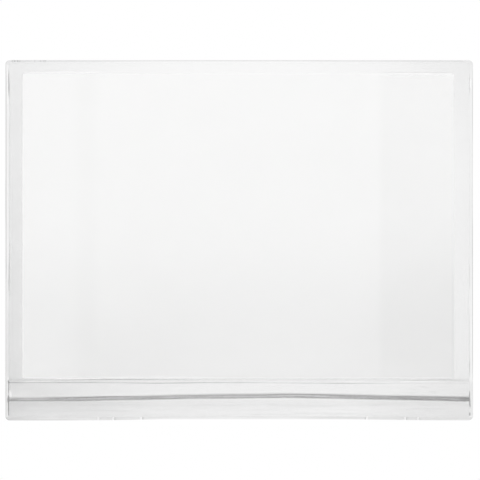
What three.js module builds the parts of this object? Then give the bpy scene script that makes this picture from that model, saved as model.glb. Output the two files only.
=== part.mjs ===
// Landscape display pocket of clear film for one A4 card, which clings to a steel board by two
// magnetic strips on its back. The card goes in and out through a mouth near the lower edge.
//
// Millimetres. X runs to the right and Z up. The board is the plane Y = 0 and the pocket lies in
// front of it, so a depth of d in front of the board is Y = -d. The origin is the middle of the
// pocket's outline, on the board.
import * as THREE from 'three';

// Display card: A4 on its long side, with its corners rounded
const cardWidth = 297;
const cardHeight = 210;
const cardThickness = 0.25;
const cardCornerRadius = 1.8;
const cardShift = -0.6;

// Clear film
const backFilmThickness = 0.25;
const stripFilmThickness = 0.25;
const frontFilmThickness = 0.25;

// Bare film between the card and the welded rim
const sideMargin = 9.9;
const topMargin = 7.1;

// Welded rim: a pressed band with a ridge of squeezed film along its inner side
const sideWeldWidth = 2.7;
const endWeldWidth = 1.9;
const rimOuterRadius = 3;
const rimInnerRadius = 0.8;
const rimPress = 0.15;
const rimRidgeWidth = 0.35;
const rimRidgeSlope = 0.3;
const rimEdgeRounding = 0.4;
const rimStepLength = 1.2;

// Ledge: the weld that holds the bottom strip to the back film, on which the card stands
const ledgeHeight = 3.5;
const ledgePress = 0.1;
const ledgeRidgeWidth = 0.55;
const ledgeRidgeSlope = 0.25;
const cardSeatGap = 0.3;

// Bottom strip, from the ledge down to the welded rim
const stripHeight = 23.3;

// Mouth: the front film's free lower edge, cut in a low bow and turned forward as a lip
const mouthDrop = 12.5;
const mouthRise = 2.5;
const mouthPeak = 31;
const mouthBowPower = 1.3;
const lipHeight = 3.3;
const lipAngle = THREE.MathUtils.degToRad(65);
const lipFade = 7;
const mouthGape = 0.8;
const gapeReach = 22;

// How the front film rises from the rim to pass over the card
const sideRise = 7.6;
const topRise = 6;

// Room in front of and behind the card
const slideClearance = 0.2;
const frontClearance = 0.25;

// Magnetic strips, each held to the back film by a layer of adhesive tape
const magnetWidth = 15;
const magnetThickness = 1;
const magnetSideInset = 43.9;
const magnetEndInset = 5;
const magnetCornerRadius = 0.6;
const magnetEdgeRounding = 0.12;
const tapeThickness = 0.15;
const tapeInset = 0.5;

// Steps in the curves
const cornerSteps = 6;
const riseSteps = 6;
const spanColumns = 26;
const panelRows = 14;
const lipSteps = 8;

// Places across and up the pocket
const innerHalfWidth = cardWidth / 2 + sideMargin;
const halfWidth = innerHalfWidth + sideWeldWidth;
const innerHeight = topMargin + cardHeight + cardSeatGap + ledgeHeight + stripHeight;
const innerTop = innerHeight / 2;
const innerBottom = -innerTop;
const halfHeight = innerTop + endWeldWidth;
const ledgeBottom = innerBottom + stripHeight;
const ledgeTop = ledgeBottom + ledgeHeight;
const cardBottom = ledgeTop + cardSeatGap;
const cardTop = cardBottom + cardHeight;
const mouthEnd = ledgeBottom - mouthDrop;

// Depths in front of the board
const backFilmBack = magnetThickness + tapeThickness;
const backFilmFront = backFilmBack + backFilmThickness;
const stripFront = backFilmFront + stripFilmThickness;
const rimFront = stripFront + frontFilmThickness;
const cardBack = stripFront + slideClearance;
const cardFront = cardBack + cardThickness;
const filmOverCard = cardFront + frontClearance;

const clearFilm = new THREE.MeshStandardMaterial({
  color: 0xf0f2f2,
  roughness: 0.12,
  metalness: 0,
  transparent: true,
  opacity: 0.3,
});
const weldedFilm = new THREE.MeshStandardMaterial({
  color: 0xdfe2e2,
  roughness: 0.3,
  metalness: 0,
  transparent: true,
  opacity: 0.5,
});
const whiteCard = new THREE.MeshStandardMaterial({ color: 0xf8f8f7, roughness: 0.85, metalness: 0 });
const magneticRubber = new THREE.MeshStandardMaterial({ color: 0x2b2a29, roughness: 0.7, metalness: 0 });
const adhesiveTape = new THREE.MeshStandardMaterial({ color: 0xf1efe8, roughness: 0.6, metalness: 0 });

function smoothStep(distance, length) {
  const share = THREE.MathUtils.clamp(distance / length, 0, 1);
  return share * share * (3 - 2 * share);
}

// A rectangle with its lower and upper corners rounded, drawn across and up the pocket.
function roundedRectangle(left, right, bottom, top, lowerRadius, upperRadius) {
  const quarter = Math.PI / 2;
  const shape = new THREE.Shape();
  shape.moveTo(left + lowerRadius, bottom);
  shape.lineTo(right - lowerRadius, bottom);
  if (lowerRadius > 0) shape.absarc(right - lowerRadius, bottom + lowerRadius, lowerRadius, -quarter, 0);
  shape.lineTo(right, top - upperRadius);
  if (upperRadius > 0) shape.absarc(right - upperRadius, top - upperRadius, upperRadius, 0, quarter);
  shape.lineTo(left + upperRadius, top);
  if (upperRadius > 0) shape.absarc(left + upperRadius, top - upperRadius, upperRadius, quarter, 2 * quarter);
  shape.lineTo(left, bottom + lowerRadius);
  if (lowerRadius > 0) shape.absarc(left + lowerRadius, bottom + lowerRadius, lowerRadius, 2 * quarter, 3 * quarter);
  return shape;
}

// A flat sheet of the given outline that stands upright, between two depths.
function sheetMesh(name, shape, back, front, material, rounding = 0) {
  const geometry = new THREE.ExtrudeGeometry(shape, {
    depth: front - back - 2 * rounding,
    bevelEnabled: rounding > 0,
    bevelThickness: rounding,
    bevelSize: rounding,
    bevelOffset: -rounding,
    bevelSegments: 2,
    curveSegments: cornerSteps,
  });
  geometry.translate(0, 0, rounding);
  geometry.rotateX(Math.PI / 2);
  const mesh = new THREE.Mesh(geometry, material);
  mesh.name = name;
  mesh.position.y = -back;
  return mesh;
}

// A mesh from a list of points and a list of the three points of each triangle.
function meshFromTriangles(name, points, triangles, material) {
  const geometry = new THREE.BufferGeometry();
  geometry.setAttribute('position', new THREE.Float32BufferAttribute(points.flat(), 3));
  geometry.setIndex(triangles);
  geometry.computeVertexNormals();
  const mesh = new THREE.Mesh(geometry, material);
  mesh.name = name;
  return mesh;
}

function backFilm() {
  const outline = roundedRectangle(
    -innerHalfWidth,
    innerHalfWidth,
    innerBottom,
    innerTop,
    rimInnerRadius,
    rimInnerRadius,
  );
  return sheetMesh('back_film', outline, backFilmBack, backFilmFront, clearFilm);
}

function bottomStrip() {
  const outline = roundedRectangle(
    -innerHalfWidth,
    innerHalfWidth,
    innerBottom,
    ledgeBottom,
    rimInnerRadius,
    0,
  );
  return sheetMesh('bottom_strip', outline, backFilmFront, stripFront, clearFilm);
}

// The ledge's section has a ridge along each side of the pressed band, and runs from rim to rim.
function ledgeWeld() {
  const pressed = stripFront - ledgePress;
  const section = new THREE.Shape();
  section.moveTo(backFilmFront, ledgeBottom);
  section.lineTo(stripFront, ledgeBottom);
  section.lineTo(stripFront, ledgeBottom + ledgeRidgeWidth);
  section.lineTo(pressed, ledgeBottom + ledgeRidgeWidth + ledgeRidgeSlope);
  section.lineTo(pressed, ledgeTop - ledgeRidgeWidth - ledgeRidgeSlope);
  section.lineTo(stripFront, ledgeTop - ledgeRidgeWidth);
  section.lineTo(stripFront, ledgeTop);
  section.lineTo(backFilmFront, ledgeTop);
  section.closePath();
  const length = 2 * innerHalfWidth;
  const geometry = new THREE.ExtrudeGeometry(section, { depth: length, bevelEnabled: false });
  // The section's first axis is the depth and its second is up, so the length runs across.
  const alongLength = new THREE.Vector3(1, 0, 0);
  const depthAxis = new THREE.Vector3(0, -1, 0);
  const upAxis = new THREE.Vector3(0, 0, 1);
  geometry.applyMatrix4(new THREE.Matrix4().makeBasis(depthAxis, upAxis, alongLength.negate()));
  geometry.translate(innerHalfWidth, 0, 0);
  const mesh = new THREE.Mesh(geometry, weldedFilm);
  mesh.name = 'ledge_weld';
  return mesh;
}

// One side of the rim as a line of points, with a point above and below the step where the
// front film ends.
function rimLine(halfAcross, halfUp, radius) {
  const quarter = Math.PI / 2;
  const stepTop = mouthEnd;
  const stepBottom = mouthEnd - rimStepLength;
  const line = new THREE.Path();
  line.moveTo(halfAcross, -halfUp + radius);
  line.lineTo(halfAcross, stepBottom);
  line.lineTo(halfAcross, stepTop);
  line.lineTo(halfAcross, halfUp - radius);
  line.absarc(halfAcross - radius, halfUp - radius, radius, 0, quarter);
  line.lineTo(-halfAcross + radius, halfUp);
  line.absarc(-halfAcross + radius, halfUp - radius, radius, quarter, 2 * quarter);
  line.lineTo(-halfAcross, stepTop);
  line.lineTo(-halfAcross, stepBottom);
  line.lineTo(-halfAcross, -halfUp + radius);
  line.absarc(-halfAcross + radius, -halfUp + radius, radius, 2 * quarter, 3 * quarter);
  line.lineTo(halfAcross - radius, -halfUp);
  line.absarc(halfAcross - radius, -halfUp + radius, radius, 3 * quarter, 4 * quarter);
  const points = line.getPoints(cornerSteps);
  points.pop();
  return points;
}

// The rim's section at a place where the weld has this width and this front: distance inward
// from the outer edge, and depth.
function rimSection(width, front) {
  const pressed = front - rimPress;
  const ridgeFoot = width - rimRidgeWidth - rimRidgeSlope;
  return [
    [0, backFilmBack + rimEdgeRounding / 2],
    [rimEdgeRounding / 2, backFilmBack],
    [width, backFilmBack],
    [width, front],
    [width - rimRidgeWidth, front],
    [ridgeFoot, pressed],
    [rimEdgeRounding, pressed],
    [rimEdgeRounding / 3, pressed - rimEdgeRounding / 6],
    [0, pressed - rimEdgeRounding / 2],
  ];
}

// The films are melted into one all round. The rim is as thick as the films that meet in it, so
// it steps down below the ends of the mouth, where no front film runs.
function rimWeld() {
  const outer = rimLine(halfWidth, halfHeight, rimOuterRadius);
  const inner = rimLine(innerHalfWidth, innerTop, rimInnerRadius);
  const points = [];
  outer.forEach((edge, place) => {
    const width = edge.distanceTo(inner[place]);
    const front = edge.y < mouthEnd - rimStepLength / 2 ? stripFront : rimFront;
    for (const [inward, depth] of rimSection(width, front)) {
      const spot = edge.clone().lerp(inner[place], inward / width);
      points.push([spot.x, -depth, spot.y]);
    }
  });
  const around = rimSection(1, rimFront).length;
  const triangles = [];
  for (let place = 0; place < outer.length; place += 1) {
    const here = place * around;
    const next = ((place + 1) % outer.length) * around;
    for (let side = 0; side < around; side += 1) {
      const other = (side + 1) % around;
      triangles.push(here + side, next + other, next + side);
      triangles.push(here + side, here + other, next + other);
    }
  }
  return meshFromTriangles('rim_weld', points, triangles, weldedFilm);
}

// Height of the front film's free edge: a low bow, highest a little right of the middle.
function mouthEdge(across) {
  const end = across < mouthPeak ? -innerHalfWidth : innerHalfWidth;
  const share = Math.abs((across - mouthPeak) / (end - mouthPeak));
  return mouthEnd + mouthRise * (1 - share ** mouthBowPower);
}

// Depth of the front film's inner face, without the lip: it leaves the rim flat, rises over the
// card, and stands a little further off towards the mouth.
function filmDepth(across, up) {
  const fromSide = innerHalfWidth - Math.abs(across);
  const fromTop = innerTop - up;
  const fromMouth = up - mouthEdge(across) - lipHeight;
  const rise = smoothStep(fromSide, sideRise) * smoothStep(fromTop, topRise);
  const bow = Math.cos((across / innerHalfWidth) * (Math.PI / 2));
  const gape = mouthGape * bow * Math.exp(-Math.max(fromMouth, 0) / gapeReach);
  return stripFront + rise * (filmOverCard - stripFront + gape);
}

// Places across the film: close together beside the rim, where it rises, and wider apart between.
function filmColumns() {
  const fromSide = [0, rimInnerRadius];
  for (let step = 1; step <= riseSteps; step += 1) {
    fromSide.push(rimInnerRadius + ((sideRise - rimInnerRadius) * step) / riseSteps);
  }
  const span = 2 * (innerHalfWidth - sideRise);
  const left = fromSide.map((distance) => distance - innerHalfWidth);
  const middle = [];
  for (let column = 1; column < spanColumns; column += 1) {
    middle.push(sideRise - innerHalfWidth + (span * column) / spanColumns);
  }
  const right = left.map((across) => -across).reverse();
  return [...left, ...middle, ...right];
}

// One column of the front film from the rim down to the free edge: for each point its height,
// its inner depth and the slope of the lip there.
function filmColumn(across) {
  const column = [];
  const lipTop = mouthEdge(across) + lipHeight;
  const heights = [innerTop, innerTop - rimInnerRadius];
  for (let step = 1; step <= riseSteps; step += 1) {
    heights.push(innerTop - rimInnerRadius - ((topRise - rimInnerRadius) * step) / riseSteps);
  }
  for (let row = 1; row <= panelRows; row += 1) {
    heights.push(THREE.MathUtils.lerp(innerTop - topRise, lipTop, row / panelRows));
  }
  for (const up of heights) column.push({ up, depth: filmDepth(across, up), slope: 0 });
  const radius = lipHeight / Math.sin(lipAngle);
  const fade = smoothStep(innerHalfWidth - Math.abs(across), lipFade);
  for (let step = 1; step <= lipSteps; step += 1) {
    const turn = (lipAngle * step) / lipSteps;
    const up = lipTop - radius * Math.sin(turn);
    const depth = filmDepth(across, lipTop) + fade * radius * (1 - Math.cos(turn));
    column.push({ up, depth, slope: Math.atan(fade * Math.tan(turn)) });
  }
  return column;
}

// The front film is one skin of even thickness. Its upper corners follow the rim's inner corners.
function frontFilm() {
  const columns = filmColumns();
  const profile = columns.map(filmColumn);
  const rows = profile[0].length;
  const cornerInset = rimInnerRadius * (1 - Math.SQRT1_2);
  const points = [];
  for (const outerFace of [false, true]) {
    profile.forEach((column, place) => {
      column.forEach(({ up, depth, slope }, row) => {
        const thickness = outerFace ? frontFilmThickness : 0;
        const atCorner = row === 0 && (place === 0 || place === columns.length - 1);
        const inset = atCorner ? cornerInset : 0;
        points.push([
          columns[place] - Math.sign(columns[place]) * inset,
          -depth - thickness * Math.cos(slope),
          up - inset + thickness * Math.sin(slope),
        ]);
      });
    });
  }
  const faceSize = columns.length * rows;
  const triangles = [];
  const quad = (a, b, c, d) => triangles.push(a, b, c, a, c, d);
  for (let place = 0; place + 1 < columns.length; place += 1) {
    for (let row = 0; row + 1 < rows; row += 1) {
      const a = place * rows + row;
      const b = a + rows;
      quad(a, b, b + 1, a + 1);
      quad(faceSize + a, faceSize + a + 1, faceSize + b + 1, faceSize + b);
    }
  }
  const edge = (a, b) => quad(a, faceSize + a, faceSize + b, b);
  for (let row = 0; row + 1 < rows; row += 1) {
    edge(row + 1, row);
    edge(faceSize - rows + row, faceSize - rows + row + 1);
  }
  for (let place = 0; place + 1 < columns.length; place += 1) {
    edge(place * rows, (place + 1) * rows);
    edge((place + 2) * rows - 1, (place + 1) * rows - 1);
  }
  return meshFromTriangles('front_film', points, triangles, clearFilm);
}

function insertCard() {
  const outline = roundedRectangle(
    cardShift - cardWidth / 2,
    cardShift + cardWidth / 2,
    cardBottom,
    cardTop,
    cardCornerRadius,
    cardCornerRadius,
  );
  return sheetMesh('insert_card', outline, cardBack, cardFront, whiteCard);
}

// A magnetic strip and the tape between it and the back film; side is -1 for left and 1 for right.
function magnetStrip(name, side) {
  const middle = side * (cardWidth / 2 - magnetSideInset);
  const outline = roundedRectangle(
    middle - magnetWidth / 2,
    middle + magnetWidth / 2,
    cardBottom + magnetEndInset,
    cardTop - magnetEndInset,
    magnetCornerRadius,
    magnetCornerRadius,
  );
  return sheetMesh(name, outline, 0, magnetThickness, magneticRubber, magnetEdgeRounding);
}

function tapeLayer(name, side) {
  const middle = side * (cardWidth / 2 - magnetSideInset);
  const outline = roundedRectangle(
    middle - magnetWidth / 2 + tapeInset,
    middle + magnetWidth / 2 - tapeInset,
    cardBottom + magnetEndInset + tapeInset,
    cardTop - magnetEndInset - tapeInset,
    0,
    0,
  );
  return sheetMesh(name, outline, magnetThickness, backFilmBack, adhesiveTape);
}

const pocket = new THREE.Group();
pocket.name = 'display_pocket';
pocket.add(
  backFilm(),
  bottomStrip(),
  ledgeWeld(),
  rimWeld(),
  frontFilm(),
  insertCard(),
  magnetStrip('magnet_strip_left', -1),
  magnetStrip('magnet_strip_right', 1),
  tapeLayer('adhesive_tape_left', -1),
  tapeLayer('adhesive_tape_right', 1),
);

export default pocket;
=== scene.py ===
import math

import bpy
import numpy as np
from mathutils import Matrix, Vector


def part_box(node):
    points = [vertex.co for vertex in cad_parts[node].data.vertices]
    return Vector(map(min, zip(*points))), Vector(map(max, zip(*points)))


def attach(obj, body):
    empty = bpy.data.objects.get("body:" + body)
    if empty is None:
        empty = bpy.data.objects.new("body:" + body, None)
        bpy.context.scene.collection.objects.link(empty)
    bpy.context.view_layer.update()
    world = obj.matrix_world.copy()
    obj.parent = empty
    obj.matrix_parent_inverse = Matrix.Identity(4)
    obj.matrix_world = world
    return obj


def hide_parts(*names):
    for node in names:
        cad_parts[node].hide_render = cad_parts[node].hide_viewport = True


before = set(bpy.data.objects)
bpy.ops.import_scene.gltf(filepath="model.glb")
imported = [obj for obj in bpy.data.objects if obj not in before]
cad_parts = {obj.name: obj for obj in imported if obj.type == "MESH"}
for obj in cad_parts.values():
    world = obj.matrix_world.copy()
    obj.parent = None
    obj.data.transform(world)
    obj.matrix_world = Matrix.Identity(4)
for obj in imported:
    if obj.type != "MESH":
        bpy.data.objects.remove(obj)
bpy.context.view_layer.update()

# Back film: the full-size back sheet of clear soft vinyl, 0.25 mm thick, which carries everything
# else. It is cut from a roll and melted into the rim on all four sides. Against white it looks faintly
# grey, and painted shade in its density makes it greyer towards its sides and its foot.
MM = 0.001


def corners(node):
    """The lowest and highest corner of a piece in millimetres, from the frame."""
    low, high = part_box(node)
    return np.array(low) / MM, np.array(high) / MM


back_low, back_high = corners("back_film")
film_half_width = back_high[0]
film_top = back_high[2]
film_bottom = back_low[2]
back_rear = -back_high[1]
back_front = -back_low[1]
weld_gap = 0.02
sheet_low = back_low + weld_gap
sheet_high = back_high - weld_gap
film_corner_radius = 0.8
foot_bow = 0.75
foot_reach = 10
foot_left = -104
foot_left_rise = 60
foot_right = 148
foot_right_rise = 93
back_haze = 0.028
card_foot_line = -95.3
pressed_line = -97.2


def places(*stretches):
    """Places along a line, from stretches that each give a start, an end and a step."""
    runs = [np.linspace(start, end, round(abs(end - start) / step) + 1) for start, end, step in stretches]
    return np.unique(np.concatenate(runs).round(4))


def smooth_step(distance, length):
    """0 at no distance and 1 from the length on, by 3 s^2 - 2 s^3 of their share s."""
    share = np.clip(distance / length, 0, 1)
    return share * share * (3 - 2 * share)


def bell(distance, width):
    """1 on a line and 0 away from it, by the exponential of minus the squared share of the width."""
    return np.exp(-((distance / width) ** 2))


def drift(place, seed, length, count=5):
    """A wandering value between 0 and 1 along a line: a half plus nine tenths of the mean of sines,
    whose wavelengths lie between the length and a fifth of it, with seeded phases."""
    chance = np.random.default_rng(seed)
    lengths = chance.uniform(length / 5, length, count)
    phases = chance.uniform(0, 2 * math.pi, count)
    waves = np.sin(2 * math.pi * np.asarray(place)[..., None] / lengths + phases)
    return np.clip(0.5 + waves.mean(axis=-1) * 0.9, 0, 1)


def foot_lift(across, up):
    """How far the foot of the pocket lies above its ends: a smooth step up from the left, another
    from the right, and level between them, faded out above the foot."""
    from_left = smooth_step(across - foot_left, foot_left_rise)
    from_right = smooth_step(foot_right - across, foot_right_rise)
    near_foot = smooth_step(film_bottom + foot_reach - up, foot_reach)
    return foot_bow * from_left * from_right * near_foot


def round_corners(across, up, low, high, lower_radius, upper_radius):
    """Draws a grid in at its corners, between a lowest and a highest corner: within the radius of a
    round corner's centre, a point moves towards that centre by its larger offset over the length of
    both, which lays the square's edge on an arc."""
    middle = (low[0] + high[0]) / 2
    half_width = (high[0] - low[0]) / 2
    upper = up > (low[2] + high[2]) / 2
    radius = np.where(upper, upper_radius, lower_radius)
    side = np.sign(across - middle)
    height = np.where(upper, 1, -1)
    centre_across = middle + side * (half_width - radius)
    centre_up = np.where(upper, high[2] - radius, low[2] + radius)
    out = (across - centre_across) * side
    rise = (up - centre_up) * height
    inside = (out > 0) & (rise > 0)
    length = np.where(inside, np.hypot(out, rise), 1)
    scale = np.where(inside, np.maximum(out, rise) / length, 1)
    new_across = np.where(inside, centre_across + side * out * scale, across)
    new_up = np.where(inside, centre_up + height * rise * scale, up)
    return new_across, new_up


def sheet_points(across, up, depth):
    """Points in metres: across is X, up is Z, and the depth in front of the board is -Y."""
    return np.stack([across, -np.broadcast_to(depth, across.shape), up], axis=-1) * MM


def make_mesh(name, points, faces, marks):
    """A smooth mesh of quads from its points and its faces' corners, with a named value at each point
    for each mark. Edges of more than 35 degrees stay sharp."""
    mesh = bpy.data.meshes.new(name)
    mesh.vertices.add(len(points))
    mesh.vertices.foreach_set("co", points.astype(np.float32).ravel())
    mesh.loops.add(faces.size)
    mesh.loops.foreach_set("vertex_index", faces.astype(np.int32).ravel())
    mesh.polygons.add(len(faces))
    mesh.polygons.foreach_set("loop_start", np.arange(0, faces.size, 4, dtype=np.int32))
    mesh.update(calc_edges=True)
    mesh.validate()
    mesh.shade_smooth()
    mesh.set_sharp_from_angle(angle=math.radians(35))
    for mark, values in marks.items():
        layer = mesh.attributes.new(mark, "FLOAT", "POINT")
        layer.data.foreach_set("value", np.asarray(values, dtype=np.float32).ravel())
    piece = bpy.data.objects.new(name, mesh)
    bpy.context.scene.collection.objects.link(piece)
    return piece


def closed_skin(name, front, back, marks):
    """A closed skin from two grids of points, rows going up and columns going right: the front face,
    the back face turned over, and a strip of quads that joins their borders. Both faces take the same
    marks."""
    rows, columns = front.shape[:2]
    count = rows * columns
    index = np.arange(count).reshape(rows, columns)
    quads = [index[:-1, :-1], index[:-1, 1:], index[1:, 1:], index[1:, :-1]]
    front_faces = np.stack(quads, -1).reshape(-1, 4)
    back_faces = count + front_faces[:, ::-1]
    border = np.concatenate([index[0, :-1], index[:-1, -1], index[-1, :0:-1], index[:0:-1, 0]])
    after = np.roll(border, -1)
    wall = np.stack([border, border + count, after + count, after], -1)
    points = np.concatenate([front.reshape(-1, 3), back.reshape(-1, 3)])
    faces = np.concatenate([front_faces, back_faces, wall])
    both = {
        mark: np.tile(np.broadcast_to(values, (rows, columns)).ravel(), 2)
        for mark, values in marks.items()
    }
    return make_mesh(name, points, faces, both)


def take_place(piece, body, material):
    """Gives a piece its finish, hides the plain solid of the same name, and ties it to its body."""
    piece.data.materials.append(material)
    node = piece.name.removesuffix("_look")
    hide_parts(node)
    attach(piece, body)


def feed(tree, socket, value):
    """Links a socket to another node's output, or writes a plain value into it."""
    if isinstance(value, bpy.types.NodeSocket):
        tree.links.new(value, socket)
    else:
        socket.default_value = value


def add_node(tree, kind, values):
    """A node of this kind, with a plain value or a link in each of the sockets named."""
    node = tree.nodes.new(kind)
    for name, value in values.items():
        feed(tree, node.inputs[name], value)
    return node


def calculate(tree, operation, *values):
    """The result of one Math node."""
    node = tree.nodes.new("ShaderNodeMath")
    node.operation = operation
    for socket, value in zip(node.inputs, values):
        feed(tree, socket, value)
    return node.outputs[0]


def mix_colours(tree, share, first, second):
    """The colour a share of the way from the first to the second. A Mix node keeps its share in
    socket 0, its two colours in 6 and 7, and puts the mixed colour out of 2."""
    node = tree.nodes.new("ShaderNodeMix")
    node.data_type = "RGBA"
    feed(tree, node.inputs[0], share)
    feed(tree, node.inputs[6], first)
    feed(tree, node.inputs[7], second)
    return node.outputs[2]


def mix_shaders(tree, share, first, second):
    """The shader a share of the way from the first to the second."""
    node = tree.nodes.new("ShaderNodeMixShader")
    feed(tree, node.inputs["Fac"], share)
    feed(tree, node.inputs[1], first)
    feed(tree, node.inputs[2], second)
    return node.outputs["Shader"]


def bump_normal(tree, height, strength, distance):
    """The normal of a surface that this height raises, by the distance in metres at most."""
    values = {"Strength": strength, "Distance": distance, "Height": height}
    return add_node(tree, "ShaderNodeBump", values).outputs["Normal"]


def read_mark(tree, mark):
    """The value that the mesh holds under this name at each point."""
    node = tree.nodes.new("ShaderNodeAttribute")
    node.attribute_name = mark
    return node.outputs["Fac"]


def fine_grain():
    """A shader group that gives a fine random grain on a piece's own coordinates, stretched by the
    given scale of each axis, as a value about 0.5 with the contrast asked for."""
    tree = bpy.data.node_groups.new("fine_grain", "ShaderNodeTree")
    for name, kind in (("Scale", "Vector"), ("Detail", "Float"), ("Contrast", "Float")):
        tree.interface.new_socket(name, in_out="INPUT", socket_type="NodeSocket" + kind)
    tree.interface.new_socket("Grain", in_out="OUTPUT", socket_type="NodeSocketFloat")
    given = tree.nodes.new("NodeGroupInput").outputs
    result = tree.nodes.new("NodeGroupOutput")
    own_place = tree.nodes.new("ShaderNodeTexCoord").outputs["Object"]
    mapping = add_node(tree, "ShaderNodeMapping", {"Vector": own_place, "Scale": given["Scale"]})
    values = {"Vector": mapping.outputs["Vector"], "Scale": 1, "Detail": given["Detail"]}
    noise = add_node(tree, "ShaderNodeTexNoise", values)
    centred = calculate(tree, "SUBTRACT", noise.outputs["Fac"], 0.5)
    scaled = calculate(tree, "MULTIPLY", centred, given["Contrast"])
    tree.links.new(calculate(tree, "ADD", scaled, 0.5), result.inputs["Grain"])
    return tree


grain_group = fine_grain()


def grain(tree, scale, detail, contrast):
    """The fine grain at this scale in waves per metre along X, Y and Z."""
    node = tree.nodes.new("ShaderNodeGroup")
    node.node_tree = grain_group
    node.inputs["Scale"].default_value = scale
    node.inputs["Detail"].default_value = detail
    node.inputs["Contrast"].default_value = contrast
    return node.outputs["Grain"]


def new_material(name):
    """A material with an empty node tree but for its output, the tree, and the output."""
    material = bpy.data.materials.new(name)
    material.use_nodes = True
    tree = material.node_tree
    tree.nodes.clear()
    return material, tree, tree.nodes.new("ShaderNodeOutputMaterial")


vinyl_index = 1.53
# Dark lines of painted shade: their density, how fast they darken, and their colour. Light lines of
# painted highlight: their density and their white colour.
shade_line_density = 0.62
shade_line_darkening = 3.0
shade_line_colour = (0.045, 0.046, 0.047, 1)
highlight_density = 0.5
highlight_colour = (1.0, 1.0, 1.0, 1)
highest_density = 0.97


def clear_plastic(name, body_grey, haze, roughness, scuff):
    """See-through vinyl, whose density is its alpha. The mesh's marks add to it: one is the film's
    density, with painted shade in it; one draws dark lines of painted shade, where a fold, a weld or the
    lip bends the light; and one draws light lines of painted highlight, which whiten the colour by their
    share of the density. A gloss lies over it by Fresnel, seen from either side."""
    material, tree, output = new_material(name)
    shade_lines = read_mark(tree, "shade_lines")
    highlights = read_mark(tree, "highlights")
    scuffs = grain(tree, scale=(90, 90, 260), detail=6, contrast=1.6)
    cloud = grain(tree, scale=(9, 9, 14), detail=2, contrast=1.0)
    tone = calculate(tree, "MULTIPLY", read_mark(tree, "tone"), calculate(tree, "ADD", cloud, 0.5))
    worn = calculate(tree, "MULTIPLY_ADD", scuffs, scuff, haze)
    density = calculate(tree, "ADD", tone, worn)
    density = calculate(tree, "MULTIPLY_ADD", shade_lines, shade_line_density, density)
    density = calculate(tree, "MULTIPLY_ADD", highlights, highlight_density, density)
    alpha = calculate(tree, "MINIMUM", density, highest_density)
    body_colour = (body_grey, body_grey, body_grey * 1.005, 1)
    # The dark lines darken the colour as painted shade, and the light lines whiten it as painted
    # highlight.
    darkness = calculate(tree, "MINIMUM", calculate(tree, "MULTIPLY", shade_lines, shade_line_darkening), 1.0)
    colour = mix_colours(tree, darkness, body_colour, shade_line_colour)
    lightness = calculate(tree, "DIVIDE", highlights, calculate(tree, "MAXIMUM", alpha, 0.001))
    colour = mix_colours(tree, calculate(tree, "MINIMUM", lightness, 1.0), colour, highlight_colour)
    normal = bump_normal(tree, cloud, strength=0.15, distance=0.0002)
    plastic = add_node(tree, "ShaderNodeBsdfPrincipled", {
        "IOR": vinyl_index,
        "Specular IOR Level": 0.0,
        "Base Color": colour,
        "Alpha": alpha,
        "Roughness": calculate(tree, "MULTIPLY_ADD", scuffs, 0.08, roughness),
        "Normal": normal,
    })
    gloss = add_node(tree, "ShaderNodeBsdfGlossy", {"Roughness": roughness, "Normal": normal})
    from_behind = tree.nodes.new("ShaderNodeNewGeometry").outputs["Backfacing"]
    index = calculate(tree, "MULTIPLY_ADD", from_behind, 1 / vinyl_index - vinyl_index, vinyl_index)
    fresnel = add_node(tree, "ShaderNodeFresnel", {"IOR": index, "Normal": normal})
    surface = mix_shaders(tree, fresnel.outputs["Fac"], plastic.outputs["BSDF"], gloss.outputs["BSDF"])
    tree.links.new(surface, output.inputs["Surface"])
    return material


film_material = clear_plastic("clear_soft_vinyl", body_grey=0.5, haze=0.0, roughness=0.1, scuff=0.003)


def stroke(across, up, start, end, width, fade):
    """1 along a straight line between two points and 0 away from it: a bell of the distance from the
    line, faded in and out over the given length at its ends."""
    start = np.array(start, dtype=float)
    step = np.array(end, dtype=float) - start
    length = np.hypot(*step)
    step = step / length
    ahead = (across - start[0]) * step[0] + (up - start[1]) * step[1]
    aside = (across - start[0]) * step[1] - (up - start[1]) * step[0]
    within = smooth_step(ahead + fade / 2, fade) * smooth_step(length + fade / 2 - ahead, fade)
    return bell(aside, width) * within


def strokes(across, up, rows):
    """The sum of strokes. Each row gives a start, an end, a width, a fade and a strength."""
    return sum(
        strength * stroke(across, up, start, end, width, fade)
        for start, end, width, fade, strength in rows
    )


def backing_shade(across, up):
    """Painted shade in the density of the back film. Over the card it grows with the square of the drop
    from the top, and below the card only a little of it is left, at the left. Towards the sides it grows
    with the cube of the distance from the middle: on the left more the lower down, on the right least a
    little past half way down. The upper right corner is denser as painted shade, and the mouth's left
    end lighter as painted light."""
    drop = (film_top - up) / (film_top - film_bottom)
    out = np.abs(across) / film_half_width
    left = np.where(across < 0, out, 0) ** 3
    right = np.where(across > 0, out, 0) ** 3
    below = smooth_step(card_foot_line - up, 3.5)
    middle = 0.10 * drop ** 2 * (1 - below) + 0.012 * below * smooth_step(-20 - across, 100)
    left_side = left * (0.128 + 0.06 * drop) * (1 - 0.18 * below)
    right_side = right * (0.125 - 0.31 * drop + 0.28 * drop ** 2)
    corner = 0.015 * smooth_step(across - 88, 40) * smooth_step(up - 105, 8)
    light_end = 0.06 * bell(up + 106.5, 4) * smooth_step(-138 - across, 14)
    return middle + left_side + right_side + corner - light_end


def clear_lines(across, up):
    """Share of the tone that is missing along thin clear lines, where the bar that made the ledge has
    pressed the films against each other."""
    lines = ((112, 137, 0.85), (66, 87, 0.7), (-148, -130, 0.5))
    return strokes(across, up, [
        ((start, pressed_line), (end, pressed_line), 0.35, 4, share) for start, end, share in lines
    ])


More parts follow.
